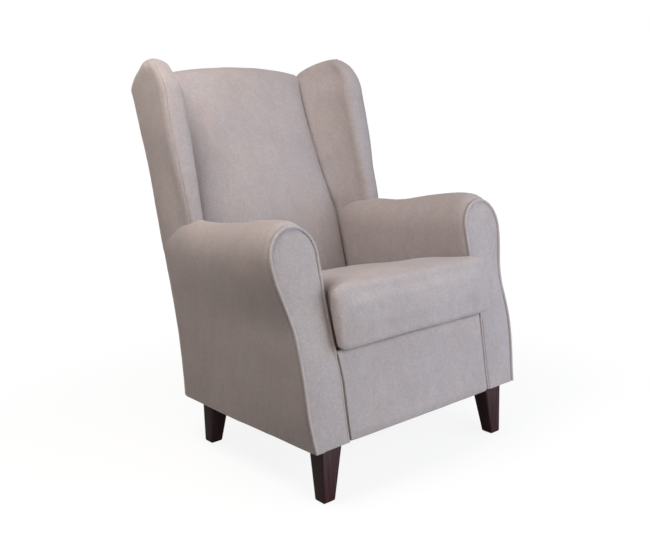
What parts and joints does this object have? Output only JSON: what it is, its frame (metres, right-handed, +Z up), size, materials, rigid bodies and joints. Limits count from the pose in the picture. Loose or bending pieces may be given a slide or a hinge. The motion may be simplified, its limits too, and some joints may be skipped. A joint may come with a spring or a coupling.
{
  "type": "wing armchair",
  "caption": "Upholstered fireside wing armchair with piped scroll arms, a raked front, a curved high back, a loose seat cushion and short square tapered legs.",
  "frame": {"origin": "on the floor, under the middle of the chair's box", "axes": "+X to the sitter's left, -Y to the front, +Z up"},
  "size_m": [0.8046, 0.846, 1.0558],
  "materials": {
    "upholstery": "soft brushed plain cloth",
    "foam": "open-cell foam",
    "webbing": "woven strap",
    "lining": "non-woven lining",
    "dark_wood": "satin dark stain",
    "beech": "sawn, unfinished",
    "steel": "bright zinc"
  },
  "bodies": {
    "chair": {"leg_front_left": "dark_wood", "leg_front_right": "dark_wood", "leg_rear_left": "dark_wood", "leg_rear_right": "dark_wood", "foot_glides": "steel", "leg_bolts": "steel", "tee_nuts": "steel", "corner_blocks": "beech", "front_rail": "beech", "rear_rail": "beech", "side_rail_left": "beech", "side_rail_right": "beech", "arm_post_left": "beech", "arm_post_right": "beech", "arm_rail_left": "beech", "arm_rail_right": "beech", "back_post_left": "beech", "back_post_right": "beech", "back_top_rail": "beech", "back_lower_rail": "beech", "wing_board_left": "beech", "wing_board_right": "beech", "seat_springs": "steel", "spring_clips": "steel", "back_webbing": "webbing", "seat_deck": "upholstery", "front_border": "upholstery", "arm_cover_left": "upholstery", "arm_cover_right": "upholstery", "outside_arm_left": "upholstery", "outside_arm_right": "upholstery", "arm_facing_left": "upholstery", "arm_facing_right": "upholstery", "arm_piping_left": "upholstery", "arm_piping_right": "upholstery", "wing_cover_left": "upholstery", "wing_cover_right": "upholstery", "inside_back": "upholstery", "outside_back": "upholstery", "dust_cover": "lining"},
    "seat_cushion": {"cushion_core": "foam", "cushion_cover": "upholstery"}
  },
  "joints": [
    {"name": "cushion_lift", "type": "slide", "parent": "chair", "child": "seat_cushion", "axis": [0, 0, 1], "range_m": [0, 0.45]}
  ]
}
